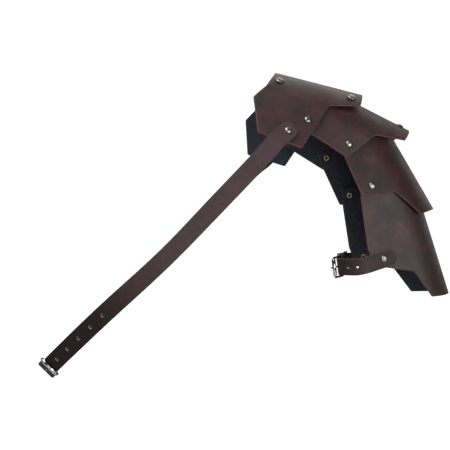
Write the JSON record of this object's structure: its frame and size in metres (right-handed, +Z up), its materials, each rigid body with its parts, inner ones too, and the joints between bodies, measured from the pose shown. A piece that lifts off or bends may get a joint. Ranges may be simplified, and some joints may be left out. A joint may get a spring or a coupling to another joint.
{
  "type": "layered leather pauldron",
  "caption": "Left shoulder armour of overlapping riveted leather lames, with a chest strap and an upper-arm strap, both buckled.",
  "frame": {"origin": "on the inner face of the top lame at its crown, where the pauldron sits on the shoulder; the mount shoulder is there", "axes": "+X out along the wearer's left arm, with -X across the chest; +Y to the wearer's back, the wearer faces -Y; +Z up"},
  "size_m": [0.5919, 0.2459, 0.438],
  "materials": {
    "lame_leather": "dark red-brown pull-up leather, satin, black and matte inside",
    "strap_leather": "dark brown leather, nearly matte, lighter cut edges",
    "rivet_metal": "domed nickel caps, tarnished rings inside",
    "buckle_metal": "dark gunmetal wire, polished"
  },
  "bodies": {
    "root": {"lame_1": "lame_leather", "lame_2": "lame_leather", "lame_3": "lame_leather", "lame_4": "lame_leather", "chest_strap_front": "strap_leather", "chest_strap_back": "strap_leather", "arm_strap_front": "strap_leather", "arm_strap_back": "strap_leather", "tongue_rivet_front": "rivet_metal", "tongue_rivet_back": "rivet_metal", "neck_rivet_front": "rivet_metal", "neck_rivet_back": "rivet_metal", "chest_strap_rivet_front": "rivet_metal", "chest_strap_rivet_back": "rivet_metal", "ridge_rivet_front": "rivet_metal", "ridge_rivet_back": "rivet_metal", "lame_rivet_1_front": "rivet_metal", "lame_rivet_1_back": "rivet_metal", "lame_rivet_2_front": "rivet_metal", "lame_rivet_2_back": "rivet_metal", "lame_rivet_3_front": "rivet_metal", "lame_rivet_3_back": "rivet_metal", "arm_strap_rivet_front": "rivet_metal", "arm_strap_rivet_back": "rivet_metal", "chest_fold_rivet": "rivet_metal", "arm_fold_rivet": "rivet_metal", "chest_buckle_frame": "buckle_metal", "chest_buckle_roller": "buckle_metal", "chest_buckle_prong": "buckle_metal", "chest_strap_keeper": "buckle_metal", "arm_buckle_frame": "buckle_metal", "arm_buckle_roller": "buckle_metal", "arm_buckle_prong": "buckle_metal", "arm_strap_keeper": "buckle_metal"}
  },
  "joints": []
}
